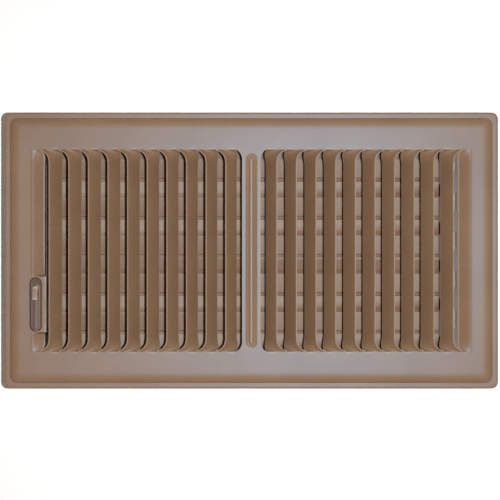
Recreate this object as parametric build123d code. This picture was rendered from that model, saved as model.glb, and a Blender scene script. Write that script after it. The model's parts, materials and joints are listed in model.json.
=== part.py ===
"""Louvred floor register: pressed steel face with two banks of fins over a multi-blade damper.

Millimetres. +Z is out of the face, +X runs along the long side, the lever is on the -X side.
The origin is the centre of the damper box's lower rim.
"""

from build123d import *
import math
import os

os.makedirs("parts", exist_ok=True)

# Pressed face
face_length = 346.1
face_side_lap = 22.55
face_corner_radius = 4.5
face_sheet = 0.8
floor_height = 40.0
lip_height = 3.0
lip_edge_radius = 0.6
rim_width = 4.7
field_rise = 3.5
shoulder_angle = 55.0
field_corner_radius = 6.8

# Louvre banks
land_width = 12.7
lance_pitch = 13.65
fin_count = 10
louvre_length = 141.0
lance_kerf = 0.8
fin_form_length = 9.0
fin_high_shift = 2.4
fin_high_rise = 3.2
fin_low_shift = 4.1
fin_low_drop = 8.3
fin_bow = 0.84
fin_end_anchor = 1.0
tab_width = 9.2
tab_angle = 42.8
tab_end_slant = 5.0

# Pressed channel on the land between the banks
channel_width = 8.4
channel_length = 136.0
channel_depth = 0.5
channel_rib = 1.8

# Lever well
well_width = 8.75
well_length = 37.8
well_depth = 3.0
well_centre_x = -150.45
well_centre_y = -37.6
well_pad_margin = 3.0
lever_slot_gap = 0.35

# Damper box
box_width = 148.6
box_sheet = 0.8
lever_plate_x = -147.9
plain_plate_x = 140.4
end_plate_height = 39.0
rail_top_flange = 8.0
rail_bottom_return = 6.0
corner_flange = 10.0
corner_flange_gap = 2.0
plain_tab_reach = 5.0
plain_tab_length = 14.7
plain_tab_offset = -2.95
stop_strip_height = 8.0
stop_lap = 2.6

# Damper blades
blade_count = 5
blade_pitch = 27.4
blade_width = 29.0
blade_sheet = 0.5
blade_tilt = 2.0
blade_shift_y = -3.8
blade_axis_height = 21.5
blade_end_gap_lever = 7.4
blade_end_gap_plain = 4.5
groove_width = 3.2
groove_depth = 0.9
lip_width = 5.0
lip_drop = 2.2
ear_gap = 2.8
ear_radius = 3.6
ear_foot = (3.2, 11.9)
ear_foot_height = 1.6

# Linkage
crank_radius = 7.5
crank_angle = 45.0
blade_travel = 90.0
link_bar_height = 5.8
link_bar_sheet = 0.8
link_bar_overhang = 4.0
link_bar_ear_gap = 0.9
drive_pin_radius = 1.2
drive_pin_gap = 0.35
arc_slot_gap = 0.5

# Thumb lever
lever_pivot_y = -39.9
lever_pivot_height = 5.8
lever_sheet = 1.0
lever_width = 7.8
lever_boss_radius = 4.8
lever_reach = 41.7
lever_tab_length = 9.5
lever_tab_reach = 3.0
lever_standoff = 1.0

# Rivets and washer
pivot_radius = 1.6
pivot_head_radius = 2.2
pivot_collar_radius = 1.9
pivot_head = 0.7
lever_shank_radius = 2.0
lever_head_radius = 4.0
lever_shoulder_radius = 3.0
washer_radius = 3.6
washer_thickness = 0.4
link_rivet_radius = 1.3
link_head_radius = 2.0
link_head = 0.55
corner_rivet_radius = 1.4
corner_head_radius = 2.4
corner_rivet_heights = (10.0, 33.0)

# Clearances
running_gap = 0.05
face_gap = 0.1
stop_gap = 0.4

# Derived places
face_width = box_width + 2 * face_side_lap
rim_top = floor_height + lip_height
field_top = rim_top + field_rise
field_under = field_top - face_sheet
bank_inner = land_width / 2
bank_outer = bank_inner + lance_pitch * fin_count + tab_width
louvre_half = louvre_length / 2
rail_face = box_width / 2
rail_inner = rail_face - box_sheet
flange_face = rail_face + box_sheet
lever_plate_inner = lever_plate_x + box_sheet
plain_plate_inner = plain_plate_x - box_sheet
blade_places = [
    (index - (blade_count - 1) / 2) * blade_pitch + blade_shift_y for index in range(blade_count)
]
blade_half = blade_width / 2 * math.cos(math.radians(blade_tilt))
blade_edge_height = blade_width / 2 * math.sin(math.radians(blade_tilt))
crank_y = crank_radius * math.cos(math.radians(crank_angle))
crank_z = crank_radius * math.sin(math.radians(crank_angle))
pin_height = blade_axis_height + crank_z
lever_ear_outer = lever_plate_inner + ear_gap
lever_ear_inner = lever_ear_outer + blade_sheet
plain_ear_outer = plain_plate_inner - ear_gap / 2
plain_ear_inner = plain_ear_outer - blade_sheet
blade_start = lever_plate_inner + blade_end_gap_lever - box_sheet
blade_end = plain_plate_inner - blade_end_gap_plain
link_bar_inner = lever_ear_outer - link_bar_ear_gap
link_bar_outer = link_bar_inner - link_bar_sheet
lever_inner = lever_plate_x - lever_standoff
lever_outer = lever_inner - lever_sheet
drive_pin_y = lever_pivot_y + crank_y
lever_lean = math.degrees(math.atan2(crank_y, pin_height - lever_pivot_height))


def block(x_range, y_range, z_range):
    """A box between two corners."""
    (x0, x1), (y0, y1), (z0, z1) = sorted(x_range), sorted(y_range), sorted(z_range)
    middle = Pos((x0 + x1) / 2, (y0 + y1) / 2, (z0 + z1) / 2)
    return middle * Box(x1 - x0, y1 - y0, z1 - z0)


def rod_x(radius, x_range, y, z):
    """A round bar along X."""
    x0, x1 = sorted(x_range)
    return Pos((x0 + x1) / 2, y, z) * Rot(0, 90, 0) * Cylinder(radius, x1 - x0)


def rod_y(radius, y_range, x, z):
    """A round bar along Y."""
    y0, y1 = sorted(y_range)
    return Pos(x, (y0 + y1) / 2, z) * Rot(90, 0, 0) * Cylinder(radius, y1 - y0)


def plate_x(outline, x_range):
    """A plate across X, or a bar along it, with an outline of (y, z) points."""
    x0, x1 = sorted(x_range)
    face = Plane.YZ.offset(x0) * Polygon(*outline, align=None)
    return extrude(face, amount=x1 - x0, dir=(1, 0, 0))


def obround_z(length, width, z_range):
    """An upright obround block, long along Y, centred on the Z axis."""
    z0, z1 = sorted(z_range)
    return extrude(Plane.XY.offset(z0) * Rot(0, 0, 90) * SlotOverall(length, width), amount=z1 - z0)


# Face


def pressed_form(inset):
    """The face's outer form, moved inwards by one sheet for its hollow."""
    slope = math.radians(shoulder_angle)
    lip_outline = RectangleRounded(
        face_length - 2 * inset, face_width - 2 * inset, face_corner_radius - inset
    )
    lip = extrude(Plane.XY.offset(floor_height) * lip_outline, amount=lip_height - inset)
    shoulder_inset = rim_width + inset * (1 - math.sin(slope)) / math.cos(slope)
    shoulder_outline = RectangleRounded(
        face_length - 2 * shoulder_inset,
        face_width - 2 * shoulder_inset,
        field_corner_radius - (shoulder_inset - rim_width),
    )
    shoulder = extrude(
        Plane.XY.offset(rim_top - inset) * shoulder_outline, amount=field_rise, taper=shoulder_angle
    )
    return lip + shoulder


def face_shell():
    """The pressed pan: turned-down lip, flat rim, sloping shoulder and flat field."""
    outer = pressed_form(0)
    rim_edges = outer.edges().filter_by(lambda edge: abs(edge.center().Z - rim_top) < face_sheet / 8)
    outermost = [edge for edge in rim_edges if is_outer_edge(edge)]
    return fillet(outermost, lip_edge_radius) - pressed_form(face_sheet)


def is_outer_edge(edge):
    """Whether an edge runs round the lip instead of round the shoulder."""
    centre = edge.center()
    beside = abs(centre.X) > face_length / 2 - rim_width / 2
    return beside or abs(centre.Y) > face_width / 2 - rim_width / 2


def fin_outline(number, formed):
    """One fin's cross-section on the right bank, flat in the face at 0 and fully formed at 1."""
    near = bank_inner + lance_pitch * number + lance_kerf / 2
    far = bank_inner + lance_pitch * (number + 1) - lance_kerf / 2
    low = Vector(near + fin_low_shift * formed, field_top - fin_low_drop * formed)
    high = Vector(far - fin_high_shift * formed, field_top + fin_high_rise * formed)
    run = (high - low).normalized()
    up = Vector(-run.Y, run.X)
    crown = (low + high) / 2 + up * fin_bow * formed
    top = [low, crown, high]
    under = [point - up * face_sheet for point in reversed(top)]
    return [(point.X, point.Y) for point in top + under]


def fin(number, side):
    """A fin lofted along Y: its ends stay in the face, its middle is turned out of it."""
    straight = louvre_half - fin_form_length
    outer = louvre_half + fin_end_anchor
    stations = [(outer, 0), (louvre_half, 0), (straight, 1)]
    stations += [(-y, formed) for y, formed in reversed(stations)]
    sections = []
    for y, formed in stations:
        outline = [(side * u, z) for u, z in fin_outline(number, formed)]
        sections.append(Plane.XZ.offset(-y) * Polygon(*outline, align=None))
    return loft(sections, ruled=True)


def closing_tab(side, y_range):
    """The bank's last strip, bent down about the edge it hangs from."""
    y0, y1 = y_range
    free = bank_outer - tab_width + lance_kerf / 2
    outline = [
        (side * bank_outer, y0),
        (side * bank_outer, y1),
        (side * free, y1 - tab_end_slant),
        (side * free, y0 + tab_end_slant),
    ]
    strip = Plane.XY.offset(field_under) * Polygon(*outline, align=None)
    flat = extrude(strip, amount=face_sheet, dir=(0, 0, 1))
    hinge = Axis((side * bank_outer, 0, field_top), (0, 1, 0))
    return flat.rotate(hinge, -side * tab_angle)


def well_block(margin, z_range):
    """An upright block of the lever well's outline."""
    outline = obround_z(well_length + 2 * margin, well_width + 2 * margin, z_range)
    return Pos(well_centre_x, well_centre_y, 0) * outline


def faceplate():
    """The one-piece pressed face with its fins, closing tabs, land channel and lever well."""
    shell = face_shell()
    inside = (field_under - 1, field_top + 1)
    for side in (1, -1):
        bank = (side * bank_inner, side * bank_outer)
        shell -= block(bank, (-louvre_half, louvre_half), inside)
    well_low = well_centre_y - well_length / 2 - well_pad_margin
    well_high = well_centre_y + well_length / 2 + well_pad_margin
    pad_edge = -(bank_outer - tab_width + lance_kerf / 2)
    pad = block((pad_edge, -bank_outer), (-louvre_half, well_high), (field_under, field_top))
    formed = [fin(number, side) for number in range(fin_count) for side in (1, -1)]
    tabs = [
        closing_tab(1, (-louvre_half, louvre_half)),
        closing_tab(-1, (well_high, louvre_half)),
    ]
    well_floor = field_top - well_depth
    well = well_block(face_sheet, (well_floor - face_sheet, field_top))
    swage = obround_z(channel_length, channel_width, (field_under - channel_depth, field_under))
    body = shell + [pad, well, swage] + formed + tabs
    groove = obround_z(channel_length, channel_width, (field_top - channel_depth, field_top + 1))
    rib = block(
        (-channel_rib / 2, channel_rib / 2),
        (-channel_length / 2, channel_length / 2),
        (field_under, field_top),
    )
    slot_x = (lever_outer - lever_slot_gap, well_centre_x + well_width / 2 - face_gap)
    slot_centre = math.tan(math.radians(lever_lean)) * (well_floor - lever_pivot_height)
    slot_half = slot_centre + lever_width / 2 / math.cos(math.radians(lever_lean)) + 2 * arc_slot_gap
    slot = block(
        slot_x,
        (lever_pivot_y - slot_half, lever_pivot_y + slot_half),
        (well_floor - 2 * face_sheet, well_floor + face_sheet),
    )
    return body - (groove - rib) - well_block(0, (well_floor, field_top + 1)) - slot


# Damper box


def side_rail(side):
    """A long rail: web, top flange under the face and a return along the lower rim."""
    outline = [
        (rail_inner - rail_bottom_return, 0),
        (rail_face, 0),
        (rail_face, field_under - box_sheet),
        (rail_face + rail_top_flange, field_under - box_sheet),
        (rail_face + rail_top_flange, field_under),
        (rail_inner, field_under),
        (rail_inner, box_sheet),
        (rail_inner - rail_bottom_return, box_sheet),
    ]
    outline = [(side * y, z) for y, z in outline]
    rail = plate_x(outline, (lever_plate_inner, plain_plate_inner))
    for x in corner_rivet_places():
        for z in corner_rivet_heights:
            rail -= rod_y(corner_rivet_radius, (side * rail_inner, side * flange_face), x, z)
    return rail


def corner_rivet_places():
    """Where the corner flanges are riveted, along X."""
    inset = corner_flange / 2
    return lever_plate_inner + inset, plain_plate_inner - inset


def end_plate(outer, inner):
    """A plate across the box's end, with flanges that lap the outside of the rails."""
    direction = 1 if outer > inner else -1
    plate = block((outer, inner), (-flange_face, flange_face), (0, end_plate_height))
    for side in (1, -1):
        flange = block(
            (inner, inner - direction * corner_flange),
            (side * rail_face, side * flange_face),
            (corner_flange_gap, end_plate_height - corner_flange_gap),
        )
        for x in corner_rivet_places():
            for z in corner_rivet_heights:
                flange -= rod_y(corner_rivet_radius, (side * rail_inner, side * flange_face), x, z)
        plate += flange
    for y in blade_places:
        plate -= rod_x(pivot_radius, (outer, inner), y, blade_axis_height)
    return plate


def end_plate_lever():
    """The lever-side plate, with an arc slot for the drive pin."""
    plate = end_plate(lever_plate_x, lever_plate_inner)
    plate -= rod_x(lever_shank_radius, (lever_plate_x, lever_plate_inner), lever_pivot_y, lever_pivot_height)
    slot_width = 2 * (drive_pin_radius + arc_slot_gap)
    centre_line = CenterArc((lever_pivot_y, blade_axis_height), crank_radius, crank_angle, blade_travel)
    slot = extrude(Plane.YZ.offset(lever_plate_x) * SlotArc(centre_line, slot_width), amount=box_sheet)
    return plate - slot


def end_plate_plain():
    """The far plate, with short tabs turned out along its top edge."""
    plate = end_plate(plain_plate_x, plain_plate_inner)
    for y in blade_places:
        centre = y + plain_tab_offset
        plate += block(
            (plain_plate_x, plain_plate_x + plain_tab_reach),
            (centre - plain_tab_length / 2, centre + plain_tab_length / 2),
            (end_plate_height - box_sheet, end_plate_height),
        )
    return plate


def stop_strip_front():
    """An angle over the first blade's bent lip, welded to the front rail."""
    leg_end = blade_places[0] - blade_half + stop_lap
    lip_covered = max(0.0, lip_width - stop_lap)
    drop = lip_covered * lip_drop / lip_width
    leg = blade_axis_height - blade_edge_height - drop + stop_gap
    outline = [
        (-rail_inner, leg),
        (leg_end, leg),
        (leg_end, leg + box_sheet),
        (-rail_inner + box_sheet, leg + box_sheet),
        (-rail_inner + box_sheet, leg + stop_strip_height),
        (-rail_inner, leg + stop_strip_height),
    ]
    return plate_x(outline, (blade_start, blade_end))


def stop_strip_back():
    """An angle under the last blade's raised edge, welded to the back rail."""
    leg_end = blade_places[-1] + blade_half - stop_lap
    leg = blade_axis_height + blade_edge_height - blade_sheet - stop_gap
    outline = [
        (rail_inner, leg),
        (leg_end, leg),
        (leg_end, leg - box_sheet),
        (rail_inner - box_sheet, leg - box_sheet),
        (rail_inner - box_sheet, leg - stop_strip_height),
        (rail_inner, leg - stop_strip_height),
    ]
    return plate_x(outline, (blade_start, blade_end))


# Blades and linkage


def blade_ear(outer, inner, foot):
    """An upturned ear with its pivot hole, and the tongue that joins it to the blade."""
    near, far = foot
    base = 2 * blade_sheet
    outline = [(near, -base), (far, -base), (far, ear_foot_height), (near, ear_foot_height)]
    ear = rod_x(ear_radius, (outer, inner), 0, 0) + plate_x(outline, (outer, inner))
    reach = min(abs(near), abs(far))
    bridge = [
        (0, -ear_radius),
        (math.copysign(reach, near) + math.copysign(ear_radius, near), -base),
        (math.copysign(reach, near) + math.copysign(ear_radius, near), ear_foot_height),
        (0, ear_radius),
    ]
    return ear + plate_x(bridge, (outer, inner))


def tongue(x_range, foot):
    """The flat strip that carries an ear past the blade's end."""
    return block(x_range, foot, (-blade_sheet, 0))


def damper_blade(place):
    """A long blade with a pressed groove and a bent lip, and an ear at each end; one ear is a crank."""
    half = blade_width / 2
    top = [
        (-half, -lip_drop),
        (lip_width - half, 0),
        (-groove_width / 2, 0),
        (-groove_width / 6, -groove_depth),
        (groove_width / 6, -groove_depth),
        (groove_width / 2, 0),
        (half, 0),
    ]
    under = [(y, z - blade_sheet) for y, z in reversed(top)]
    leaf = plate_x(top + under, (blade_start, blade_end))
    plain_foot = (-ear_foot[1], -ear_foot[0])
    leaf += tongue((lever_ear_outer, blade_start), ear_foot)
    leaf += tongue((blade_end, plain_ear_outer), plain_foot)
    blade = Rot(blade_tilt, 0, 0) * leaf
    crank = rod_x(ear_radius, (lever_ear_outer, lever_ear_inner), crank_y, crank_z)
    across = Vector(-crank_z, crank_y) * (ear_radius / crank_radius)
    arm = [
        (across.X, across.Y),
        (-across.X, -across.Y),
        (crank_y - across.X, crank_z - across.Y),
        (crank_y + across.X, crank_z + across.Y),
    ]
    blade += blade_ear(lever_ear_outer, lever_ear_inner, ear_foot)
    blade += crank + plate_x(arm, (lever_ear_outer, lever_ear_inner))
    blade += blade_ear(plain_ear_outer, plain_ear_inner, plain_foot)
    blade -= rod_x(pivot_radius + running_gap, (lever_ear_outer, lever_ear_inner), 0, 0)
    blade -= rod_x(pivot_radius + running_gap, (plain_ear_outer, plain_ear_inner), 0, 0)
    blade -= rod_x(link_rivet_radius + running_gap, (lever_ear_outer, lever_ear_inner), crank_y, crank_z)
    return Pos(0, place, blade_axis_height) * blade


def link_bar():
    """The bar that joins the cranks, with a hole for each crank rivet and for the drive pin."""
    low = blade_places[0] + crank_y - link_bar_overhang
    high = blade_places[-1] + crank_y + link_bar_overhang
    half = link_bar_height / 2
    bar = block((link_bar_outer, link_bar_inner), (low, high), (pin_height - half, pin_height + half))
    for y in blade_places:
        bar -= rod_x(link_rivet_radius, (link_bar_outer, link_bar_inner), y + crank_y, pin_height)
    return bar - rod_x(drive_pin_radius, (link_bar_outer, link_bar_inner), drive_pin_y, pin_height)


def link_rivets():
    """One rivet for each crank, held in the bar, turning in the blade's ear."""
    rivets = []
    for place in blade_places:
        y = place + crank_y
        tail = lever_ear_inner + face_gap
        rivet = rod_x(link_rivet_radius, (link_bar_outer, tail), y, pin_height)
        rivet += rod_x(link_head_radius, (link_bar_outer - link_head, link_bar_outer), y, pin_height)
        rivet += rod_x(link_head_radius, (tail, tail + link_head), y, pin_height)
        rivets.append(rivet)
    return Compound(rivets)


def drive_pin():
    """The pin from the link bar out through the arc slot into the lever."""
    end = lever_outer - face_gap
    pin = rod_x(drive_pin_radius, (link_bar_inner, end), drive_pin_y, pin_height)
    pin += rod_x(link_head_radius, (link_bar_inner, link_bar_inner + link_head), drive_pin_y, pin_height)
    return pin + rod_x(link_head_radius, (end, end - link_head), drive_pin_y, pin_height)


def pivot_rivets(outer, inner, ear_outer, ear_inner, collar):
    """The fixed pivots that carry one end of every blade."""
    direction = 1 if outer > inner else -1
    tail = ear_inner - direction * face_gap
    rivets = []
    for y in blade_places:
        z = blade_axis_height
        rivet = rod_x(pivot_radius, (outer, tail), y, z)
        rivet += rod_x(pivot_head_radius, (outer, outer + direction * pivot_head), y, z)
        rivet += rod_x(collar, (inner, ear_outer + direction * face_gap), y, z)
        rivet += rod_x(pivot_head_radius, (tail, tail - direction * pivot_head), y, z)
        rivets.append(rivet)
    return Compound(rivets)


def corner_rivets():
    """The rivets that hold the corner flanges to the rails."""
    rivets = []
    for side in (1, -1):
        for x in corner_rivet_places():
            for z in corner_rivet_heights:
                tail = side * (rail_inner - link_head)
                head = side * (flange_face + pivot_head)
                rivet = rod_y(corner_rivet_radius, (side * rail_inner, side * flange_face), x, z)
                rivet += rod_y(corner_head_radius, (side * flange_face, head), x, z)
                rivet += rod_y(corner_head_radius, (side * rail_inner, tail), x, z)
                rivets.append(rivet)
    return Compound(rivets)


def thumb_lever():
    """The flat lever with its boss, pin slot and the thumb tab turned outwards."""
    half = lever_width / 2
    tab_half = lever_tab_length / 2
    neck = lever_reach - lever_tab_length
    outline = [
        (-half, 0),
        (half, 0),
        (half, neck),
        (tab_half, neck + tab_half - half),
        (tab_half, lever_reach),
        (-tab_half, lever_reach),
        (-tab_half, neck + tab_half - half),
        (-half, neck),
    ]
    plate = plate_x(outline, (lever_outer, lever_inner))
    plate += rod_x(lever_boss_radius, (lever_outer, lever_inner), 0, 0)
    plate += block(
        (lever_outer - lever_tab_reach, lever_inner),
        (-tab_half, tab_half),
        (lever_reach - lever_sheet, lever_reach),
    )
    shortest = math.hypot(crank_y, pin_height - lever_pivot_height)
    longest = blade_axis_height + crank_radius - lever_pivot_height
    reach = drive_pin_radius + drive_pin_gap
    for radius in (shortest, longest):
        plate -= rod_x(reach, (lever_outer, lever_inner), 0, radius)
    plate -= block((lever_outer, lever_inner), (-reach, reach), (shortest, longest))
    plate -= rod_x(lever_shank_radius + running_gap, (lever_outer, lever_inner), 0, 0)
    return Pos(0, lever_pivot_y, lever_pivot_height) * Rot(-lever_lean, 0, 0) * plate


def lever_rivet():
    """The shouldered rivet that the lever swings on."""
    head = lever_outer - face_gap - washer_thickness
    y, z = lever_pivot_y, lever_pivot_height
    rivet = rod_x(lever_shank_radius, (head, lever_plate_inner), y, z)
    rivet += rod_x(lever_head_radius, (head - pivot_head, head), y, z)
    rivet += rod_x(lever_shoulder_radius, (lever_inner + face_gap, lever_plate_x), y, z)
    return rivet + rod_x(lever_shoulder_radius, (lever_plate_inner, lever_plate_inner + pivot_head), y, z)


def spring_washer():
    """The washer under the rivet's head that gives the lever its drag."""
    head = lever_outer - face_gap - washer_thickness
    x_range = (head, head + washer_thickness)
    ring = rod_x(washer_radius, x_range, lever_pivot_y, lever_pivot_height)
    return ring - rod_x(lever_shank_radius, x_range, lever_pivot_y, lever_pivot_height)


nodes = {
    "faceplate": faceplate(),
    "side_rail_front": side_rail(-1),
    "side_rail_back": side_rail(1),
    "end_plate_lever": end_plate_lever(),
    "end_plate_plain": end_plate_plain(),
    "stop_strip_front": stop_strip_front(),
    "stop_strip_back": stop_strip_back(),
    "link_bar": link_bar(),
    "link_rivets": link_rivets(),
    "drive_pin": drive_pin(),
    "thumb_lever": thumb_lever(),
    "lever_rivet": lever_rivet(),
    "spring_washer": spring_washer(),
    "corner_rivets": corner_rivets(),
    "pivot_rivets_lever": pivot_rivets(
        lever_plate_x, lever_plate_inner, lever_ear_outer, lever_ear_inner, pivot_collar_radius
    ),
    "pivot_rivets_plain": pivot_rivets(
        plain_plate_x, plain_plate_inner, plain_ear_outer, plain_ear_inner, pivot_head_radius
    ),
}
for number, place in enumerate(blade_places, start=1):
    nodes[f"damper_blade_{number}"] = damper_blade(place)

for name, shape in nodes.items():
    export_step(shape, f"parts/{name}.step")

print("lever swing", round(2 * lever_lean, 3), "ratio", round(2 * lever_lean / blade_travel, 5))
print("crank pin", [round(value, 3) for value in (blade_places[2] + crank_y, pin_height)])
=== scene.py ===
# %% [markdown]
# # A louvred floor register in brown enamel
#
# The real object is a drop-in floor register: one sheet of steel pressed into a shallow pan, with two
# banks of fins cut and twisted out of it, over a sheet-metal box that holds a five-blade damper. A thumb
# lever in an oblong well opens the damper through a link bar.
#
# The mechanical model already exists as a frame of named nodes. This lesson keeps every node whose shape
# is already right, rounds its edges and gives it a finish, and rebuilds in mesh code the three pieces
# where forming decides how the object looks: the pressed face, the lever's well and the thumb lever.

# %% Load the frame and keep its box
import json
import math

import bmesh
import bpy
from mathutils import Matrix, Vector


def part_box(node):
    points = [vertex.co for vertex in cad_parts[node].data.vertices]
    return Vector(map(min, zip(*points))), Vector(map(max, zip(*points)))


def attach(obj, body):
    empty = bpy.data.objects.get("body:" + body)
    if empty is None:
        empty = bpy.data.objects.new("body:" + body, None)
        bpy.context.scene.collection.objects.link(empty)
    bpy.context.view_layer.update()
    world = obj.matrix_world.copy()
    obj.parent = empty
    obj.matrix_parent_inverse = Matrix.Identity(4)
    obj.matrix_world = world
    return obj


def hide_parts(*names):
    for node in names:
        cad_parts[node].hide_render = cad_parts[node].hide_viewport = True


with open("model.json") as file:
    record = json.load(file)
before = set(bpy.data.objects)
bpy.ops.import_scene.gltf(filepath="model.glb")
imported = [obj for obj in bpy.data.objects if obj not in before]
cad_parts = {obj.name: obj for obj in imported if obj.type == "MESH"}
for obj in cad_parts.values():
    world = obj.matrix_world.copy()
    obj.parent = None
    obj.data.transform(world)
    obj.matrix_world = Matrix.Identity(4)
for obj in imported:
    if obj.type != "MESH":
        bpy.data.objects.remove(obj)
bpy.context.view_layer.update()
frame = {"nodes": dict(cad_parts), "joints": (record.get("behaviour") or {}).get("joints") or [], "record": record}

MM = 0.001
nodes = frame["nodes"]

# %% [markdown]
# ## Reading places from the frame
#
# Every piece must sit where the mechanical model says. Box corners of nodes give the face's outline, the
# sheet's levels and the lever's plate. Below, lengths are in millimetres, because a press shop thinks in
# them, and they are turned into metres when a mesh is made.

# %% Places of the main pieces, in millimetres


def span(node):
    """A node's lowest and highest corners in millimetres."""
    low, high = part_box(node)
    return low / MM, high / MM


face_low, face_high = span("faceplate")
half_long = (face_high.x - face_low.x) / 2
half_wide = (face_high.y - face_low.y) / 2
sheet = 0.8
fin_high_rise = 3.2
field_top = face_high.z - fin_high_rise
field_rise = 3.5
rim_top = field_top - field_rise
lip_height = 3.0
lip_bottom = rim_top - lip_height
print("face", round(2 * half_long, 1), "x", round(2 * half_wide, 1), "field top", round(field_top, 2))

# %% [markdown]
# ## Turning outlines into meshes
#
# Sheet metal can be made in Blender in several ways: extruding outlines, cutting solids with booleans, or
# laying a grid and moving its points as the press moves the metal. The grid is used for the face, since
# the fins stay joined to the sheet at both ends and only a grid bends that way. The rebuilt pieces go
# through one helper that makes an object from points and faces.

# %% Helpers that make a mesh object
merge_distance = 0.002


def mesh_piece(name, points, faces, body, sharp_degrees):
    """An object from points in millimetres, shaded smooth except at sharp edges, riding on a body."""
    mesh = bpy.data.meshes.new(name)
    mesh.from_pydata([Vector(point) * MM for point in points], [], faces)
    mesh.validate()
    piece = bpy.data.objects.new(name, mesh)
    bpy.context.scene.collection.objects.link(piece)
    finish_mesh(piece, sharp_degrees)
    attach(piece, body)
    return piece


def finish_mesh(piece, sharp_degrees):
    """Merge doubled points, turn every face outwards and mark the sharp edges."""
    form = bmesh.new()
    form.from_mesh(piece.data)
    bmesh.ops.remove_doubles(form, verts=form.verts, dist=merge_distance * MM)
    bmesh.ops.recalc_face_normals(form, faces=form.faces)
    form.to_mesh(piece.data)
    form.free()
    piece.data.shade_smooth()
    piece.data.set_sharp_from_angle(angle=math.radians(sharp_degrees))


def bake_modifiers(piece):
    """Put the result of a piece's modifiers into its mesh."""
    bpy.context.view_layer.update()
    evaluated = piece.evaluated_get(bpy.context.evaluated_depsgraph_get())
    mesh = bpy.data.meshes.new_from_object(evaluated)
    piece.modifiers.clear()
    old = piece.data
    piece.data = mesh
    bpy.data.meshes.remove(old)


def smooth_step(value):
    """0 below 0, 1 above 1 and a soft ramp between."""
    value = min(max(value, 0.0), 1.0)
    return value * value * (3 - 2 * value)


print("points closer than", merge_distance, "mm are merged")

# %% [markdown]
# ## The pressed face: how the press moves the metal
#
# The face starts as a flat sheet. A lancing tool slits it along parallel lines and twists the strips
# between the slits: the edge nearer the middle goes down, the outer edge comes up, so the left bank throws
# air left and the right bank throws it right. The slits hook outwards at their ends, where the metal runs
# back into the flat. The strip at each bank's outer end only hangs from its far edge, bent down.
#
# The functions below say where a point of the flat sheet ends up. `u` is the distance from the middle of
# the face and `y` runs along the fins.

# %% Sizes of the banks
land_half = 6.35
pitch = 13.65
fin_count = 10
tab_width = 9.2
louvre_half = 70.5
form_length = 11.0
form_ease = 0.6
hook_length = 7.2
hook_reach = 5.4
half_kerf = 0.4
kerf_run_out = 1.0
fin_centre_shift = 0.7
fin_centre_drop = 2.65
fin_chord = 13.9
fin_angle = math.radians(56.5)
fin_bow = 0.18
bow_sink = fin_bow / 3
tab_angle = math.radians(36.0)
hinge_u = land_half + pitch * fin_count + tab_width
field_inset = 12.4
field_half_long = half_long - field_inset
field_half_wide = half_wide - field_inset
print("fins", 2 * fin_count, "closing tabs hang from u =", round(hinge_u, 2))

# %% Where the sheet goes when it is formed


def forming(y):
    """How far the fins are turned: 1 along the straight part, 0 where the slits end."""
    from_end = min(max((louvre_half - abs(y)) / form_length, 0.0), 1.0)
    return math.sin(math.pi / 2 * from_end**form_ease)


def hook(y):
    """How far the slits have hooked outwards: a quarter of an ellipse that ends square to the fin."""
    along = max(0.0, (abs(y) - (louvre_half - hook_length)) / hook_length)
    if along <= 1:
        return hook_reach * (1 - math.sqrt(1 - along**2))
    beyond = (abs(y) - louvre_half) / (field_half_wide - louvre_half)
    return hook_reach * (1 - smooth_step(beyond))


def slit_gap(y):
    """Half the width of a slit, which closes at its very end."""
    return half_kerf * min(max((louvre_half - abs(y)) / kerf_run_out, 0.0), 1.0)


def fin_point(number, across, y):
    """A point of fin `number`, from its lower inner edge at 0 to its raised outer edge at 1."""
    turned = forming(y)
    angle = fin_angle * turned
    centre = land_half + pitch * (number + 0.5) + fin_centre_shift * turned + hook(y)
    width = pitch + (fin_chord - pitch) * turned
    reach = (across - 0.5) * (width - 2 * slit_gap(y))
    bow = 4 * fin_bow * across * (1 - across) * turned
    u = centre + reach * math.cos(angle) - bow * math.sin(angle)
    z = reach * math.sin(angle) + bow * math.cos(angle) - fin_centre_drop * turned
    return u, z - bow_sink * turned


fin_edges = [fin_point(0, across, 0.0) for across in (0.0, 1.0)]
print("first fin's edges at", [(round(u, 2), round(z, 2)) for u, z in fin_edges])

# %% [markdown]
# ## The closing tabs and the pad for the lever
#
# The right-hand tab is whole. The left-hand one is interrupted: round the lever well the sheet stays flat
# as a pad, and the tab only bends down on both sides of it. The tab turns about its far edge, with a thin
# raised crease where the tool pinches the sheet.

# %% Sizes of the lever well and of the tabs round it
well_x = -150.45
well_y = -37.6
well_width = 8.75
well_length = 37.8
well_depth = 3.0
pad_clearance = 0.2
tab_run_out = 1.8
crease_height = 0.22
crease_width = 0.55


def tab_forming(side, y):
    """How far a closing tab is bent down at y."""
    turned = forming(y)
    if side < 0:
        beyond = abs(y - well_y) - well_length / 2 - pad_clearance
        turned *= smooth_step(beyond / tab_run_out)
    return turned


def tab_point(side, across, y):
    """A point of a closing tab, from its free edge at 0 to its hinge at 1."""
    angle = tab_angle * tab_forming(side, y)
    width = tab_width - hook(y)
    reach = (1 - across) * (width - slit_gap(y))
    return hinge_u - reach * math.cos(angle), -reach * math.sin(angle)


def margin_point(side, beyond, y):
    """A point of the flat field outside the tab, with the crease along its hinge."""
    crease = crease_height * math.exp(-((beyond - crease_width) / crease_width) ** 2)
    return hinge_u + beyond, crease * tab_forming(side, y) * smooth_step(beyond / crease_width)


print("a tab's free edge is", round(-tab_point(1, 0.0, 0.0)[1], 2), "mm down")

# %% [markdown]
# ## The land between the banks
#
# A long obround channel is swaged into the middle land, which leaves a narrow flat-topped rib down its
# centre. It stiffens the sheet, and the rib and the channel's two edges catch the light as fine bright
# lines. The channel's two valleys are V-shaped: from the deepest line one wall climbs to the obround's
# edge and the other to the rib, so the depth at a point is the smaller of what the two walls allow.

# %% Sizes of the land's channel
channel_half_width = 4.1
channel_half_length = 68.0
channel_depth = 0.9
valley_u = 2.05
rib_half = 0.55
rib_end = 64.5


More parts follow.
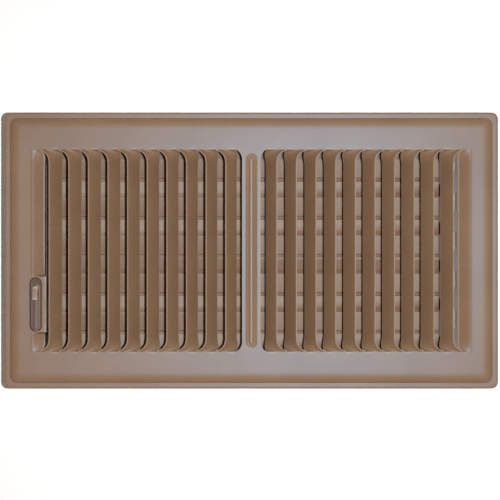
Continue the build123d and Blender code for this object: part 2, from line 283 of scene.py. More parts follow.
def land_point(across, y):
    """A point of the land, from the middle at 0 to the first slit at 1."""
    u = across * land_half
    hooked = hook(y) * smooth_step((u - channel_half_width) / (land_half - channel_half_width))
    past_centre = max(0.0, abs(y) - (channel_half_length - channel_half_width))
    inside = channel_half_width - math.hypot(u, past_centre)
    outer_wall = inside / (channel_half_width - valley_u)
    past_rib = (abs(y) - rib_end) / (2 * rib_half)
    rib_wall = (u - rib_half) / (valley_u - rib_half) + smooth_step(past_rib)
    return u + hooked, -channel_depth * min(max(min(outer_wall, rib_wall), 0.0), 1.0)


print("channel", 2 * channel_half_length, "x", 2 * channel_half_width, "mm")

# %% [markdown]
# ## Building the grid
#
# Columns follow the strips and rows are closest where the metal turns. A slit is simply a column whose
# points are doubled between the slit's ends: on the other rows the two strips share them. That keeps the
# whole face one sheet, as it is on the real object.

# %% Rows and strips
hook_rows = 14
turning_rows = 7
margin_rows = 7
pad_end_rows = 6
straight_rows = 20
land_columns = 24
tab_columns = 6
row_digits = 3
row_tolerance = 0.001


def spread(start, end, count):
    """Evenly spread numbers from start to end, in this many steps."""
    return [start + (end - start) * step / count for step in range(count + 1)]


straight = louvre_half - form_length
hook_start = louvre_half - hook_length
turns = spread(0, math.pi / 2, hook_rows)
half_rows = spread(straight, hook_start, turning_rows)
half_rows += [hook_start + hook_length * math.sin(turn) for turn in turns]
half_rows += spread(louvre_half, field_half_wide, margin_rows)[1:]
pad_half = well_length / 2 + pad_clearance
pad_ends = spread(pad_half, pad_half + tab_run_out, pad_end_rows)
pad_rows = [well_y + sign * y for sign in (1, -1) for y in pad_ends]
middle_rows = spread(-straight, straight, straight_rows) + pad_rows
rows = sorted({round(y, row_digits) for y in middle_rows + half_rows + [-y for y in half_rows]})
fin_steps = [0.0, 0.035, 0.1, 0.2, 0.32, 0.44, 0.56, 0.68, 0.8, 0.9, 0.965, 1.0]
land_steps = spread(0, 1, land_columns)
tab_steps = spread(0, 1, tab_columns)
margin_steps = [0.0, 0.3, 0.55, 0.8, 1.2, 2.0, 3.5, 6.0, field_half_long - hinge_u]
print("rows", len(rows), "from", rows[0], "to", rows[-1])


def strips(side):
    """Every strip from the middle outwards: its point function and its steps across."""
    yield land_point, land_steps
    for number in range(fin_count):
        yield (lambda a, y, n=number: fin_point(n, a, y)), fin_steps
    yield (lambda a, y: tab_point(side, a, y)), tab_steps
    yield (lambda a, y: margin_point(side, a, y)), margin_steps


# %% Lay the grid of the field
class Sheet:
    """Points and faces of the face, seen from above with faces turning anticlockwise."""

    def __init__(self):
        self.points = []
        self.faces = []

    def add(self, x, y, z):
        """Add a point and return its number."""
        self.points.append((x, y, z))
        return len(self.points) - 1

    def quad(self, side, a, b, c, d):
        """Add a face, turned over on the left-hand side, where the columns run the other way."""
        self.faces.append((a, b, c, d) if side > 0 else (d, c, b, a))


def lay_field(steel):
    """The flat field with its strips. Returns the unslit columns of points from left to right."""
    middle = [steel.add(0, y, field_top + land_point(0, y)[1]) for y in rows]
    columns = {0: middle}
    for side in (1, -1):
        before = middle
        distance = 0
        for number, (place, steps) in enumerate(strips(side)):
            for index, across in enumerate(steps):
                slit = index == 0 and 0 < number < fin_count + 2
                shared = index == 0 and not slit
                column = before if shared else new_column(steel, side, place, across, before, slit)
                if index > 0:
                    lay_band(steel, side, before, column)
                before = column
                if not slit and not shared:
                    distance += 1
                    columns[side * distance] = column
    return [columns[key] for key in sorted(columns)]


def new_column(steel, side, place, across, before, slit):
    """A column of points. At a slit it shares its ends with the strip before."""
    column = []
    for index, y in enumerate(rows):
        if slit and abs(y) >= louvre_half - row_tolerance:
            column.append(before[index])
        else:
            u, rise = place(across, y)
            column.append(steel.add(side * u, y, field_top + rise))
    return column


def lay_band(steel, side, left, right):
    """Faces between two neighbouring columns."""
    for index in range(len(rows) - 1):
        steel.quad(side, left[index], right[index], right[index + 1], left[index + 1])


steel = Sheet()
field_columns = lay_field(steel)
print("field grid", len(field_columns), "columns", len(rows), "rows", len(steel.faces), "faces")

# %% [markdown]
# ## Shoulder, rim and lip
#
# Round the field the sheet drops over a rounded shoulder to a narrow flat rim, and the rim's edge turns
# down to the floor. Each ring below is the outline at one distance in from the outside, with its height
# and corner radius. The field's corner is square and flat, and the first ring's arc fans out from it.

# %% The rings of the border
rim_width = 4.1
shoulder_width = 7.4
shoulder_rings = 9
groove_flat = 0.3
rim_flat = 0.6
lip_radius = 1.2
lip_rings = 5
outer_corner = 4.5
groove_corner = 5.0
crown_corner = 2.0
corner_steps = 8


def border_rings():
    """(inset, height, corner radius) of each ring from the field outwards."""
    rings = []
    for step in spread(math.pi / 2, 0, shoulder_rings):
        inset = rim_width + shoulder_width * (1 - math.cos(step))
        share = (inset - rim_width) / shoulder_width
        radius = groove_corner + (crown_corner - groove_corner) * share
        rings.append((inset, rim_top + field_rise * math.sin(step), radius))
    rings.append((rim_width - groove_flat, rim_top, groove_corner))
    rings.append((lip_radius + rim_flat, rim_top, outer_corner))
    for step in spread(0, math.pi / 2, lip_rings):
        inset = lip_radius * (1 - math.sin(step))
        rings.append((inset, rim_top - lip_radius * (1 - math.cos(step)), outer_corner))
    rings.append((0.0, lip_bottom, outer_corner))
    return rings


def field_sides():
    """The field's outer edge as four sides, each a list of point numbers, anticlockwise."""
    first, last = field_columns[0], field_columns[-1]
    bottom = [column[0] for column in field_columns]
    top = [column[-1] for column in reversed(field_columns)]
    return [bottom, last, top, list(reversed(first))]


def ring_place(steel, point, side_number, inset, height, radius):
    """A field edge point carried out to a ring, on its own side of the face."""
    x, y, _ = steel.points[point]
    straight_x = (half_long - inset - radius) / field_half_long
    straight_y = (half_wide - inset - radius) / field_half_wide
    sideways = side_number % 2
    if sideways:
        return math.copysign(half_long - inset, x), y * straight_y, height
    return x * straight_x, math.copysign(half_wide - inset, y), height


def ring_corner(side_number, turn, inset, height, radius):
    """A point on the corner after a side, turn running from 0 to 1."""
    angle = math.radians(90.0 * (side_number - 1 + turn))
    sign_x = 1 if side_number in (0, 1) else -1
    sign_y = 1 if side_number in (1, 2) else -1
    x = sign_x * (half_long - inset - radius) + radius * math.cos(angle)
    y = sign_y * (half_wide - inset - radius) + radius * math.sin(angle)
    return x, y, height


def lay_border(steel):
    """Every ring of the border, joined to the ring before it."""
    sides = field_sides()
    before = []
    for side in sides:
        before += side + [side[-1]] * (corner_steps - 1)
    for inset, height, radius in border_rings():
        ring = []
        for number, side in enumerate(sides):
            ring += [
                steel.add(*ring_place(steel, point, number, inset, height, radius)) for point in side
            ]
            ring += [
                steel.add(*ring_corner(number, turn / corner_steps, inset, height, radius))
                for turn in range(1, corner_steps)
            ]
        join_rings(steel, before, ring)
        before = ring


def join_rings(steel, inner, outer):
    """Faces between two rings; a repeated inner point gives a triangle."""
    count = len(outer)
    for index in range(count):
        after = (index + 1) % count
        corners = [inner[index], outer[index], outer[after], inner[after]]
        face = list(dict.fromkeys(corners))
        steel.faces.append(tuple(face))


lay_border(steel)
print("face sheet", len(steel.points), "points")

# %% [markdown]
# ## Cutting the well and giving the sheet its thickness
#
# The opening for the lever's well is an obround. A boolean on the thickened sheet is the obvious way, but
# the exact solver lost the whole face and the fast one opened its top skin only. So the face is cut while
# it is still a single surface: every side of the obround slices the flat pad, and the middle is lifted
# out. A solidify modifier then gives the sheet its real gauge, downwards, so the top stays where the press
# left it. The holes of the smaller pieces are punched with exact booleans, which work on those.

# %% Obround outlines and the punch
end_steps = 12
cutter_edge = 30.0


def obround(length, width):
    """Points round an obround, long along Y, anticlockwise from the start of its upper end."""
    radius = width / 2
    flat = length / 2 - radius
    outline = []
    for end in (1, -1):
        for step in range(end_steps + 1):
            angle = math.pi * step / end_steps + (0 if end > 0 else math.pi)
            outline.append((radius * math.cos(angle), end * flat + radius * math.sin(angle)))
    return outline


def punch(piece, outline, place, low, high):
    """Cut a hole of this outline through a piece. place turns outline and depth into a point."""
    count = len(outline)
    points = [Vector(place(a, b, depth)) * MM for depth in (low, high) for a, b in outline]
    sides = [(i, (i + 1) % count, count + (i + 1) % count, count + i) for i in range(count)]
    ends = [tuple(reversed(range(count))), tuple(range(count, 2 * count))]
    mesh = bpy.data.meshes.new("punch")
    mesh.from_pydata(points, [], sides + ends)
    cutter = bpy.data.objects.new("punch", mesh)
    bpy.context.scene.collection.objects.link(cutter)
    finish_mesh(cutter, cutter_edge)
    cut = piece.modifiers.new("punch", "BOOLEAN")
    cut.operation = "DIFFERENCE"
    cut.solver = "EXACT"
    cut.object = cutter
    bake_modifiers(piece)
    bpy.data.objects.remove(cutter)


print("an obround has", len(obround(2.0, 1.0)), "points")

# %% Slice a hole out of the flat pad
slice_margin = 7.0
slice_distance = 1e-4


def in_well(x, y, z):
    """A point given from the lever well's centre."""
    return well_x + x, well_y + y, z


def outline_sides(outline):
    """Each side of the hole as a point on it and its outward direction."""
    corners = [Vector(in_well(x, y, 0)) * MM for x, y in outline]
    for start, end in zip(corners, corners[1:] + corners[:1]):
        along = end - start
        yield start, Vector((along.y, -along.x, 0)).normalized()


def within(polygon, sides, margin):
    """Whether a face of the pad lies inside every side of the hole, give or take a margin."""
    middle = polygon.calc_center_median()
    on_pad = middle.x < (tab_width - hinge_u) * MM
    return on_pad and all((middle - start).dot(outward) < margin * MM for start, outward in sides)


def cut_sheet(piece, outline):
    """Slice the pad along every side of a convex hole and lift out the middle."""
    form = bmesh.new()
    form.from_mesh(piece.data)
    sides = list(outline_sides(outline))
    for start, outward in sides:
        local = [polygon for polygon in form.faces if within(polygon, sides, slice_margin)]
        edges = {edge for polygon in local for edge in polygon.edges}
        corners = {corner for polygon in local for corner in polygon.verts}
        bmesh.ops.bisect_plane(
            form,
            geom=[*corners, *edges, *local],
            dist=slice_distance * MM,
            plane_co=start,
            plane_no=outward,
        )
    waste = [polygon for polygon in form.faces if within(polygon, sides, 0.0)]
    bmesh.ops.delete(form, geom=waste, context="FACES")
    form.to_mesh(piece.data)
    form.free()


print("well centre", in_well(0.0, 0.0, field_top))

# %% Make the face
bead_lap = 0.4
formed_edge = 30.0
cut_edge = 32.0
face = mesh_piece("pressed_face", steel.points, steel.faces, "register_frame", formed_edge)
cut_sheet(face, obround(well_length + 2 * bead_lap, well_width + 2 * bead_lap))
gauge = face.modifiers.new("gauge", "SOLIDIFY")
gauge.thickness = sheet * MM
gauge.offset = -1.0
gauge.use_even_offset = False
bake_modifiers(face)
finish_mesh(face, cut_edge)
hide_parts("faceplate")
print("pressed face", len(face.data.polygons), "faces")

# %% [markdown]
# ## The lever well
#
# The dish is drawn from the same sheet, so it has a rounded bead at its mouth, which laps the edge of the
# opening, and a steep wall. Its floor rises a little towards the middle of the register, and a slot in it,
# just wide enough, lets the lever through. Rings of the same obround, each at its own offset and depth,
# make it, and the lowest rings carry the floor's slope.

# %% Draw the dish
bead_height = 0.34
bead_radius = 0.6
bead_centre = 0.55
wall_foot = 0.8
wall_draft = 0.3
wall_gauge = 0.75 * sheet
skirt_sink = 0.05
bead_start = math.pi / 6
bead_rings = 8
foot_rings = 5
floor_slope = 0.18
dish_edge = 50.0
well_floor = field_top - well_depth


def dish_profile():
    """(offset, height, share of the floor's slope) of each ring, from the bead's skirt to the floor."""
    rings = [(bead_centre + bead_radius, field_top - skirt_sink, 0.0)]
    for turn in spread(bead_start, math.pi, bead_rings):
        offset = bead_centre + bead_radius * math.cos(turn)
        rings.append((offset, field_top + bead_height * math.sin(turn), 0.0))
    rings.append((-wall_draft / 2, field_top - bead_radius, 0.0))
    for turn in spread(0, math.pi / 2, foot_rings):
        offset = -wall_draft - wall_foot * (1 - math.cos(turn))
        rings.append((offset, well_floor + wall_foot * (1 - math.sin(turn)), 1.0))
    return rings


def dish_mesh():
    """Points and faces of the dish: a ring for each step of the profile, closed by the floor."""
    points, faces = [], []
    count = len(obround(well_length, well_width))
    for offset, height, sloped in dish_profile():
        for x, y in obround(well_length + 2 * offset, well_width + 2 * offset):
            points.append(in_well(x, y, height + sloped * floor_slope * x))
    for start in range(0, len(points) - count, count):
        for index in range(count):
            after = (index + 1) % count
            faces.append((start + index, start + after, start + count + after, start + count + index))
    faces.append(tuple(range(len(points) - count, len(points))))
    return points, faces


def face_up(piece):
    """Turn a piece's faces over if its largest face looks down."""
    form = bmesh.new()
    form.from_mesh(piece.data)
    if max(form.faces, key=lambda polygon: polygon.calc_area()).normal.z < 0:
        bmesh.ops.reverse_faces(form, faces=form.faces)
    form.to_mesh(piece.data)
    form.free()


dish_points, dish_faces = dish_mesh()
dish = mesh_piece("lever_well_dish", dish_points, dish_faces, "register_frame", dish_edge)
face_up(dish)
wall = dish.modifiers.new("gauge", "SOLIDIFY")
wall.thickness = wall_gauge * MM
wall.offset = -1.0
bake_modifiers(dish)
print("dish", round(well_depth, 1), "mm deep")

# %% Cut the lever's slot in the dish
lever_low, lever_high = span("thumb_lever")
lever_sheet = 1.0
lever_outer = lever_high.x - lever_sheet
slot_gap = 0.35
slot_left = lever_outer - slot_gap
slot_right = lever_high.x + slot_gap
slot_length = 29.6
slot_y = -39.9
slot_outline = obround(slot_length, slot_right - slot_left)


def in_slot(x, y, z):
    """A point given from the slot's centre."""
    return (slot_left + slot_right) / 2 + x, slot_y + y, z


slot_bottom = well_floor - 3 * sheet
slot_top = well_floor + sheet
slot_edge = 40.0
punch(dish, slot_outline, in_slot, slot_bottom, slot_top)
finish_mesh(dish, slot_edge)
print("lever well", len(dish.data.polygons), "faces, slot", round(slot_right - slot_left, 2), "mm wide")

# %% [markdown]
# ## The thumb lever
#
# The lever is a flat steel strip, blanked with a round boss at its pivot, and bent outwards at its top
# into a small thumb tab with rounded corners. Bending a strip is easy to copy: walk along its middle line,
# lay a row of points across it at each step as wide as the blank is there, and let a solidify modifier add
# the gauge on both sides. The pivot and the drive pin say where the strip starts and how far it leans.

# %% The strip's middle line and its width
joint_place = {joint["name"]: Vector(joint["pos_m"]) / MM for joint in frame["joints"]}
lever_pivot = joint_place["thumb_lever_swing"]
blade_axis = joint_place["damper_blade_3_turn"].z
pin_low, pin_high = span("drive_pin")
pin_centre = (pin_low + pin_high) / 2
lever_lean = math.atan2(pin_centre.y - lever_pivot.y, pin_centre.z - lever_pivot.z)
lever_middle = lever_outer + lever_sheet / 2
boss_radius = 4.8
neck_half = 3.9
neck_end = 32.2
tab_half = 4.75
tab_corner = 1.3
lever_reach = 41.7
bend_radius = 1.1
bend_start = lever_reach - lever_sheet / 2 - bend_radius
bend_end = bend_start + bend_radius * math.pi / 2
strip_end = bend_end + (lever_middle - bend_radius - lever_low.x)


def strip_half_width(along):
    """Half the blank's width at a distance along it from the pivot."""
    if along < math.sqrt(boss_radius**2 - neck_half**2):
        return math.sqrt(max(boss_radius**2 - along**2, 0.0))
    if along > strip_end - tab_corner:
        past = min((along - (strip_end - tab_corner)) / tab_corner, 1.0)
        return tab_half - tab_corner * (1 - math.sqrt(1 - past**2))
    return min(max(neck_half + (along - neck_end), neck_half), tab_half)


def strip_place(along):
    """x and height above the pivot of the strip's middle line."""
    if along < bend_start:
        return lever_middle, along
    turn = min((along - bend_start) / bend_radius, math.pi / 2)
    straight_part = max(along - bend_end, 0.0)
    x = lever_middle - bend_radius * (1 - math.cos(turn)) - straight_part
    return x, bend_start + bend_radius * math.sin(turn)


def on_lever(side, height, x):
    """A point from its distance across and up the leaning lever."""
    y = lever_pivot.y + height * math.sin(lever_lean) + side * math.cos(lever_lean)
    z = lever_pivot.z + height * math.cos(lever_lean) - side * math.sin(lever_lean)
    return x, y, z


print("lever strip", round(strip_end, 1), "mm long, leaning", round(math.degrees(lever_lean), 2), "degrees")

# %% Make the lever
bend_rows = 6
boss_rows = 10
neck_rows = 10
corner_rows = 6
boss_shares = (0.35, 0.7, 1.0)
tip_half_width = 0.02
strip_edge = 40.0
tumbled_radius = 0.18
tumbled_angle = 50.0
tumbled_segments = 2
boss_end = math.sqrt(boss_radius**2 - neck_half**2)
boss_turns = spread(0, math.pi / 2, boss_rows)
corner_turns = spread(0, math.pi / 2, corner_rows)
strip_steps = [-boss_radius * math.cos(turn) for turn in boss_turns]
strip_steps += [boss_end * share for share in boss_shares] + spread(boss_end, neck_end, neck_rows)[1:]
strip_steps += [neck_end + tab_half - neck_half] + spread(bend_start, bend_end, bend_rows)
strip_steps += [strip_end - tab_corner * (1 - math.sin(turn)) for turn in corner_turns]
across_steps = [-1.0, -0.6, -0.2, 0.2, 0.6, 1.0]
lever_points = []
for along in strip_steps:
    x, height = strip_place(along)
    half = max(strip_half_width(along), tip_half_width)
    lever_points += [on_lever(half * share, height, x) for share in across_steps]
across = len(across_steps)
lever_faces = [
    (start + i, start + i + 1, start + across + i + 1, start + across + i)
    for start in range(0, len(lever_points) - across, across)
    for i in range(across - 1)
]
lever = mesh_piece("thumb_lever_strip", lever_points, lever_faces, "lever", strip_edge)
strip_gauge = lever.modifiers.new("gauge", "SOLIDIFY")
strip_gauge.thickness = lever_sheet * MM
strip_gauge.offset = 0.0
strip_gauge.use_even_offset = True
edge = lever.modifiers.new("tumbled_edge", "BEVEL")
edge.width = tumbled_radius * MM
edge.segments = tumbled_segments
edge.angle_limit = math.radians(tumbled_angle)
bake_modifiers(lever)
print("lever strip", len(lever.data.polygons), "faces")

# %% Punch its pivot hole and pin slot
pivot_hole_radius = 2.05
pin_slot_radius = 1.55
pin_nearest = math.hypot(pin_centre.y - lever_pivot.y, pin_centre.z - lever_pivot.z)
crank_radius = math.hypot(pin_centre.y - lever_pivot.y, pin_centre.z - blade_axis)
pin_farthest = blade_axis + crank_radius - lever_pivot.z
pin_middle = (pin_nearest + pin_farthest) / 2
pin_travel = pin_farthest - pin_nearest
pin_outline = obround(pin_travel + 2 * pin_slot_radius, 2 * pin_slot_radius)
pin_outline = [(side, pin_middle + height) for side, height in pin_outline]
pivot_outline = obround(2 * pivot_hole_radius, 2 * pivot_hole_radius)
for outline in (pivot_outline, pin_outline):
    punch(lever, outline, on_lever, lever_middle - lever_sheet, lever_middle + lever_sheet)
finish_mesh(lever, strip_edge)
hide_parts("thumb_lever")
print("pivot hole", 2 * pivot_hole_radius, "mm, pin slot", round(pin_travel, 2), "mm of travel")

# %% [markdown]
# ## Rounded edges on the kept nodes
#
# The frame's own nodes have knife-sharp edges. Real blanks are tumbled and dipped before painting, and real
# rivet heads are domed by the snap that closes them. A weld modifier joins the nodes' points and a bevel
# then rounds each edge: a hair's breadth on sheet metal, and some four tenths of a millimetre on a rivet.

# %% Soften the kept nodes
rivet_nodes = [
    "link_rivets", "drive_pin", "lever_rivet", "corner_rivets", "pivot_rivets_lever", "pivot_rivets_plain",
]
edge_radius = 0.14
edge_segments = 2
head_radius = 0.38
head_segments = 4
weld_distance = 0.001
bevel_angle = 35.0


def soften(node, radius, segments):
    """Round a node's edges without moving its own points."""
    weld = node.modifiers.new("joined_points", "WELD")
    weld.merge_threshold = weld_distance * MM
    bevel = node.modifiers.new("rounded_edges", "BEVEL")
    bevel.width = radius * MM
    bevel.segments = segments
    bevel.limit_method = "ANGLE"
    bevel.angle_limit = math.radians(bevel_angle)
    bevel.use_clamp_overlap = True
    bevel.harden_normals = True


for name, node in nodes.items():
    if name in rivet_nodes:
        soften(node, head_radius, head_segments)
    elif name not in ("faceplate", "thumb_lever"):
        soften(node, edge_radius, edge_segments)
print("softened", len(nodes) - 2, "nodes")

# %% [markdown]
# ## Enamel and steel
#
# The face and box are cold-rolled steel under a baked brown enamel. A sprayed enamel that is baked flows
# out to a satin skin with a fine orange peel, and it thins a little at cut edges. The few small parts that
# the spray misses are zinc-plated or bright steel. Each finish is built from real numbers: enamel's
# refractive index is about 1.5, and the orange peel has bumps about a millimetre apart and a hundredth of
# a millimetre high.

# %% Colour and node helpers


def linear(hexadecimal, alpha=1.0):
    """A linear colour from an sRGB hex value."""
    channels = [int(hexadecimal[i : i + 2], 16) / 255 for i in (0, 2, 4)]
    values = [c / 12.92 if c <= 0.04045 else ((c + 0.055) / 1.055) ** 2.4 for c in channels]
    return (*values, alpha)


def add_node(tree, kind, settings=None, links=None):
    """Add a shader node, set its properties and inputs, and link its inputs to other nodes' outputs."""
    node = tree.nodes.new(kind)
    for key, value in (settings or {}).items():
        if isinstance(key, str) and key not in node.inputs:
            setattr(node, key, value)
        else:
            node.inputs[key].default_value = value
    for key, source in (links or {}).items():
        tree.links.new(source, node.inputs[key])
    return node


def per_mm(spacing):
    """A texture scale whose features are this many millimetres apart, in object coordinates."""
    return 1.0 / (spacing * MM)


def start_material(name):
    """An empty node material with its output node and its object coordinates."""
    material = bpy.data.materials.new(name)
    material.use_nodes = True
    tree = material.node_tree
    tree.nodes.clear()
    output = add_node(tree, "ShaderNodeOutputMaterial")
    place = add_node(tree, "ShaderNodeTexCoord").outputs["Object"]
    return material, tree, output, place


# The colour mix node has several sockets with the same name, so these are its numbers.
FACTOR, COLOUR_A, COLOUR_B, COLOUR_OUT = 0, 6, 7, 2
print("mid grey in linear light", round(linear("808080")[0], 3))

# %% [markdown]
# ## Brown baked enamel
#
# What gives it away: a soft, even sheen on flat areas, a darker, warmer brown on slopes that turn away
# from the light, a faint cloudiness from uneven film thickness, specks of dust under the skin, and paler
# edges, partly burnished where the film is thin and partly painted highlight where the edges catch the light.
# The clear top of the paint is a thin coat over the brown. Real specks are a few tenths of a millimetre
# across, too fine to show from this far, so they are drawn coarser.

# %% The enamel finish
cloud_mm = 35.0
grain_mm = 1.5
peel_mm = 1.3
peel_height = 0.012
cloud_low, cloud_high = 0.35, 0.65
grain_low, grain_high = 0.3, 0.7
# Pointiness limits of the paler edges, which are partly thin film and partly painted highlight.
pale_edge_low, pale_edge_high = 0.52, 0.58
grain_contrast = 0.07
gloss_swing = 0.05
coat_roughness = 0.45
enamel_index = 1.5


def baked_enamel(name, thick, thin, edge, roughness, coat):
    """Satin baked enamel: cloudy brown film, orange peel, fine grain and paler edges, partly thin film and partly
    painted highlight.
    """
    material, tree, output, place = start_material(name)
    cloud = add_node(
        tree, "ShaderNodeTexNoise",
        {"Scale": per_mm(cloud_mm), "Detail": 3.0, "Roughness": 0.55}, {"Vector": place},
    ).outputs["Fac"]
    thickness = add_node(
        tree, "ShaderNodeMapRange", {"From Min": cloud_low, "From Max": cloud_high}, {"Value": cloud}
    ).outputs["Result"]
    film = add_node(
        tree, "ShaderNodeMix",
        {"data_type": "RGBA", COLOUR_A: linear(thick), COLOUR_B: linear(thin)}, {FACTOR: thickness},
    ).outputs[COLOUR_OUT]
    grain = add_node(
        tree, "ShaderNodeTexNoise",
        {"Scale": per_mm(grain_mm), "Detail": 3.0, "Roughness": 0.7}, {"Vector": place},
    ).outputs["Fac"]
    shade = add_node(
        tree, "ShaderNodeMapRange",
        {
            "From Min": grain_low, "From Max": grain_high,
            "To Min": 1 - grain_contrast, "To Max": 1 + grain_contrast,
        },
        {"Value": grain},
    ).outputs["Result"]
    grained = add_node(
        tree, "ShaderNodeVectorMath", {"operation": "SCALE"}, {0: film, "Scale": shade}
    ).outputs["Vector"]
    # Paler edges: partly worn, thin film and partly a painted highlight where edges catch the light.
    corner = add_node(tree, "ShaderNodeNewGeometry").outputs["Pointiness"]
    edge_wear_and_highlight = add_node(
        tree, "ShaderNodeMapRange",
        {"From Min": pale_edge_low, "From Max": pale_edge_high}, {"Value": corner},
    ).outputs["Result"]
    colour = add_node(
        tree, "ShaderNodeMix",
        {"data_type": "RGBA", COLOUR_B: linear(edge)}, {FACTOR: edge_wear_and_highlight, COLOUR_A: grained},
    ).outputs[COLOUR_OUT]
    peel = add_node(
        tree, "ShaderNodeTexNoise",
        {"Scale": per_mm(peel_mm), "Detail": 2.0, "Roughness": 0.5}, {"Vector": place},
    ).outputs["Fac"]
    bump = add_node(
        tree, "ShaderNodeBump", {"Distance": peel_height * MM}, {"Height": peel}
    ).outputs["Normal"]
    gloss = add_node(
        tree, "ShaderNodeMapRange",
        {
            "From Min": grain_low, "From Max": grain_high,
            "To Min": roughness - gloss_swing, "To Max": roughness + gloss_swing,
        },
        {"Value": grain},
    ).outputs["Result"]
    shader = add_node(
        tree, "ShaderNodeBsdfPrincipled",
        {"IOR": enamel_index, "Metallic": 0.0, "Coat Weight": coat, "Coat Roughness": coat_roughness},
        {"Base Color": colour, "Roughness": gloss, "Normal": bump, "Coat Normal": bump},
    )
    tree.links.new(shader.outputs["BSDF"], output.inputs["Surface"])
    return material


# The third colour of each enamel is its paler edge, partly thin film and partly painted highlight.
face_enamel = baked_enamel("brown_baked_enamel_satin", "86684c", "8c6e52", "a89482", 0.5, 0.6)
# Dark underside film: partly thin overspray, partly painted shade that keeps the gaps between the fins dark.
underside_shade_enamel = baked_enamel("brown_baked_enamel_overspray_and_shade", "4e3828", "5a4231", "6b5342", 0.6, 0.1)
# Painted shade: a darker, duller brown for the inside of the recessed well.
well_shade_enamel = baked_enamel("brown_baked_enamel_well_shade", "65503e", "6c5644", "a89482", 0.6, 0.1)
damper_enamel = baked_enamel("brown_baked_enamel_damper", "7c5d44", "82634a", "988472", 0.65, 0.0)
lever_enamel = baked_enamel("brown_baked_enamel_handled", "927660", "9a7e69", "b09a88", 0.45, 0.5)
# The box's brown is much darker than the face's, partly as painted shade that keeps the inside of the box dark
# through the gaps.
frame_enamel = baked_enamel("brown_baked_enamel_box", "5a4230", "644b38", "8a7868", 0.55, 0.2)
enamels = [face_enamel, underside_shade_enamel, well_shade_enamel, damper_enamel, lever_enamel, frame_enamel]
print("enamels", [enamel.name for enamel in enamels])

# %% [markdown]
# ## Zinc-plated and bright steel
#
# Zinc plating on small pressed parts is a pale grey metal with soft crystal patches. Rivets are bright
# drawn steel, with tumbling scratches. Both are metals, so the refractive index stays at its default and
# the colour sets the reflection. Real scratches are hair-fine, so these are drawn coarser than they are.

# %% The metal finishes
scratch_mm = 0.4
scratch_depth = 0.006
scratch_low, scratch_high = 0.3, 0.7
scratch_swing = 0.08


def plated_steel(name, light, dark, roughness, patch_mm):
    """A dull metal with soft patches in its colour and fine scratches in its gloss."""
    material, tree, output, place = start_material(name)
    crystals = add_node(
        tree, "ShaderNodeTexVoronoi", {"Scale": per_mm(patch_mm)}, {"Vector": place}
    ).outputs["Color"]
    tone = add_node(tree, "ShaderNodeSeparateColor", links={"Color": crystals}).outputs["Red"]
    colour = add_node(
        tree, "ShaderNodeMix",
        {"data_type": "RGBA", COLOUR_A: linear(dark), COLOUR_B: linear(light)}, {FACTOR: tone},
    ).outputs[COLOUR_OUT]
    scratches = add_node(
        tree, "ShaderNodeTexNoise", {"Scale": per_mm(scratch_mm), "Detail": 3.0}, {"Vector": place}
    ).outputs["Fac"]
    gloss = add_node(
        tree, "ShaderNodeMapRange",
        {
            "From Min": scratch_low, "From Max": scratch_high,
            "To Min": roughness - scratch_swing, "To Max": roughness + scratch_swing,
        },
        {"Value": scratches},
    ).outputs["Result"]
    bump = add_node(
        tree, "ShaderNodeBump", {"Distance": scratch_depth * MM}, {"Height": scratches}
    ).outputs["Normal"]
    shader = add_node(
        tree, "ShaderNodeBsdfPrincipled",
        {"Metallic": 1.0}, {"Base Color": colour, "Roughness": gloss, "Normal": bump},
    )
    tree.links.new(shader.outputs["BSDF"], output.inputs["Surface"])
    return material


zinc_plate = plated_steel("zinc_plated_steel_dull", "a9abac", "8f9193", 0.42, 3.0)
rivet_steel = plated_steel("drawn_steel_tumbled", "a29e98", "8a8681", 0.35, 1.5)
print("metals", zinc_plate.name, rivet_steel.name)

# %% [markdown]
# ## Finishes on every piece
#
# Each slot of the record gets the finish that its real material has, and a few darker finishes stand in for
# shade. The link bar and the cranks' rivets inside the box get the box's dark brown instead of zinc, as
# painted shade inside the box, and the parts that the spray misses stay bare. Two pieces have two finishes:
# the sides of the face that look down get a dark film, partly thin overspray from spraying from above and
# partly painted shade that keeps the gaps between the fins dark, and the dish is duller and darker below its
# bead, as painted shade in the recess.

# %% Give every node its finish
finish_of_slot = {
    "face_enamel": face_enamel,
    "frame_enamel": frame_enamel,
    "damper_enamel": damper_enamel,
    "lever_enamel": lever_enamel,
    "zinc_steel": zinc_plate,
    "rivet_steel": rivet_steel,
}
slot_of_node = {entry["node"]: entry["material_slot"] for entry in frame["record"]["subparts"]}
# Painted shade: the link bar and its rivets inside the box get the dark box brown instead of zinc.
shaded_inside_parts = ["link_bar", "link_rivets"]
# Below this height the dish gets the darker brown, painted shade in the recess.
well_shade_below = (field_top - bead_radius) * MM


def give_finish(piece, finish):
    """Put one finish on the whole piece."""
    piece.data.materials.clear()
    piece.data.materials.append(finish)


def give_two_finishes(piece, finish, other, has_other):
    """Put one finish on a piece, and another on the faces that a test picks out."""
    give_finish(piece, finish)
    piece.data.materials.append(other)
    for polygon in piece.data.polygons:
        polygon.material_index = int(has_other(polygon))


for name, node in nodes.items():
    give_finish(node, finish_of_slot[slot_of_node[name]])
# These inside parts take the dark box brown as painted shade.
for name in shaded_inside_parts:
    give_finish(nodes[name], frame_enamel)
# Painted shade: the face's downward sides get the dark underside film.
give_two_finishes(face, face_enamel, underside_shade_enamel, lambda polygon: polygon.normal.z < 0)
# Painted shade: the dish below its bead gets the darker well brown.
give_two_finishes(dish, face_enamel, well_shade_enamel, lambda polygon: polygon.center.z < well_shade_below)
give_finish(lever, lever_enamel)
print("finished", len(nodes), "nodes and 3 rebuilt pieces")

# %% [markdown]
# ## Floor, light and camera
#
# The register stands loose on its box on a plain pale floor, which glows a little so that it stays pale.
# A small lamp beside the camera lights the colours and gives the crisp, narrow shadows beside each fin. A
# second, bluish lamp near it shows in reflections only, which gives the flats their cool sheen and leaves
# the slopes warm. A faint warm light from all round fills the shadows. The camera looks straight down.

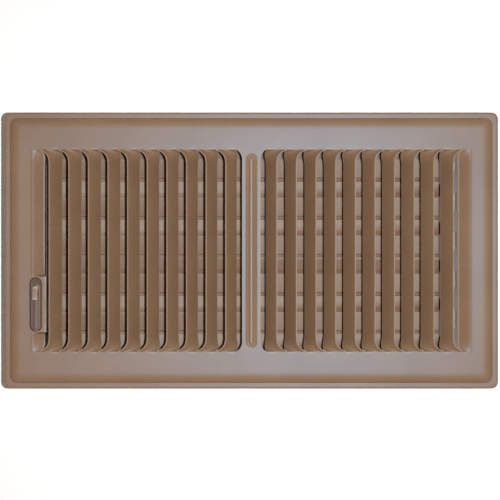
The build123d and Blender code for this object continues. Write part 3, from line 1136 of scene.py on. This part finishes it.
# %% The floor
floor_half = 1.5
floor_level = -0.0002
fibre_mm = 4.0
paper_roughness = 0.9
paper_glow = 0.1
floor_mesh = bpy.data.meshes.new("studio_floor")
corners = [(-1, -1), (1, -1), (1, 1), (-1, 1)]
floor_points = [(x * floor_half, y * floor_half, floor_level) for x, y in corners]
floor_mesh.from_pydata(floor_points, [], [(0, 1, 2, 3)])
floor = bpy.data.objects.new("studio_floor", floor_mesh)
bpy.context.scene.collection.objects.link(floor)
paper, tree, output, place = start_material("pale_paper_sweep")
fibre = add_node(
    tree, "ShaderNodeTexNoise", {"Scale": per_mm(fibre_mm), "Detail": 4.0}, {"Vector": place}
).outputs["Fac"]
tint = add_node(
    tree, "ShaderNodeMix",
    {"data_type": "RGBA", COLOUR_A: linear("fafaf9"), COLOUR_B: linear("ffffff")}, {FACTOR: fibre},
).outputs[COLOUR_OUT]
sweep = add_node(
    tree, "ShaderNodeBsdfPrincipled",
    {"Roughness": paper_roughness, "Emission Strength": paper_glow},
    {"Base Color": tint, "Emission Color": tint},
)
tree.links.new(sweep.outputs["BSDF"], output.inputs["Surface"])
give_finish(floor, paper)
print("floor", 2 * floor_half, "m wide")

# %% Lamps and the light all round
camera_height = 0.85
near_place = (0.05, 0.0, camera_height)
near_size = 0.012
near_power = 7.4
sheen_place = (0.085, 0.01, 0.95)
sheen_size = 0.06
sheen_power = 10.5
air_strength = 0.13


def lamp(name, place, size, power, colour):
    """A round area lamp aimed at the middle of the face."""
    light = bpy.data.lights.new(name, "AREA")
    light.shape = "DISK"
    light.size = size
    light.energy = power
    light.color = linear(colour)[:3]
    holder = bpy.data.objects.new(name, light)
    bpy.context.scene.collection.objects.link(holder)
    holder.location = place
    aim = Vector((0, 0, field_top * MM)) - Vector(place)
    holder.rotation_euler = aim.to_track_quat("-Z", "Y").to_euler()
    return holder


near_lamp = lamp("near_lamp", near_place, near_size, near_power, "fcfdff")
near_lamp.visible_glossy = False
sheen_panel = lamp("sheen_panel", sheen_place, sheen_size, sheen_power, "85c6ee")
sheen_panel.visible_diffuse = False

world = bpy.data.worlds.new("studio_air")
world.use_nodes = True
air = world.node_tree.nodes["Background"]
air.inputs["Color"].default_value = linear("ffd9ae")
air.inputs["Strength"].default_value = air_strength
bpy.context.scene.world = world
print("lamps", near_power, "W and", sheen_power, "W")

# %% The camera
view_width = 0.3488
camera_aside = -0.0009
camera_along = 0.0004
sensor_width = 36.0
nearest_seen = 0.01
lens = bpy.data.cameras.new("overhead_camera")
lens.sensor_width = sensor_width
lens.lens = sensor_width * (camera_height - field_top * MM) / view_width
lens.clip_start = nearest_seen
camera = bpy.data.objects.new("overhead_camera", lens)
camera.location = (camera_aside, camera_along, camera_height)
bpy.context.scene.collection.objects.link(camera)
bpy.context.scene.camera = camera
bpy.context.scene.view_settings.view_transform = "Standard"
print("camera", round(lens.lens, 1), "mm lens at", camera_height, "m")
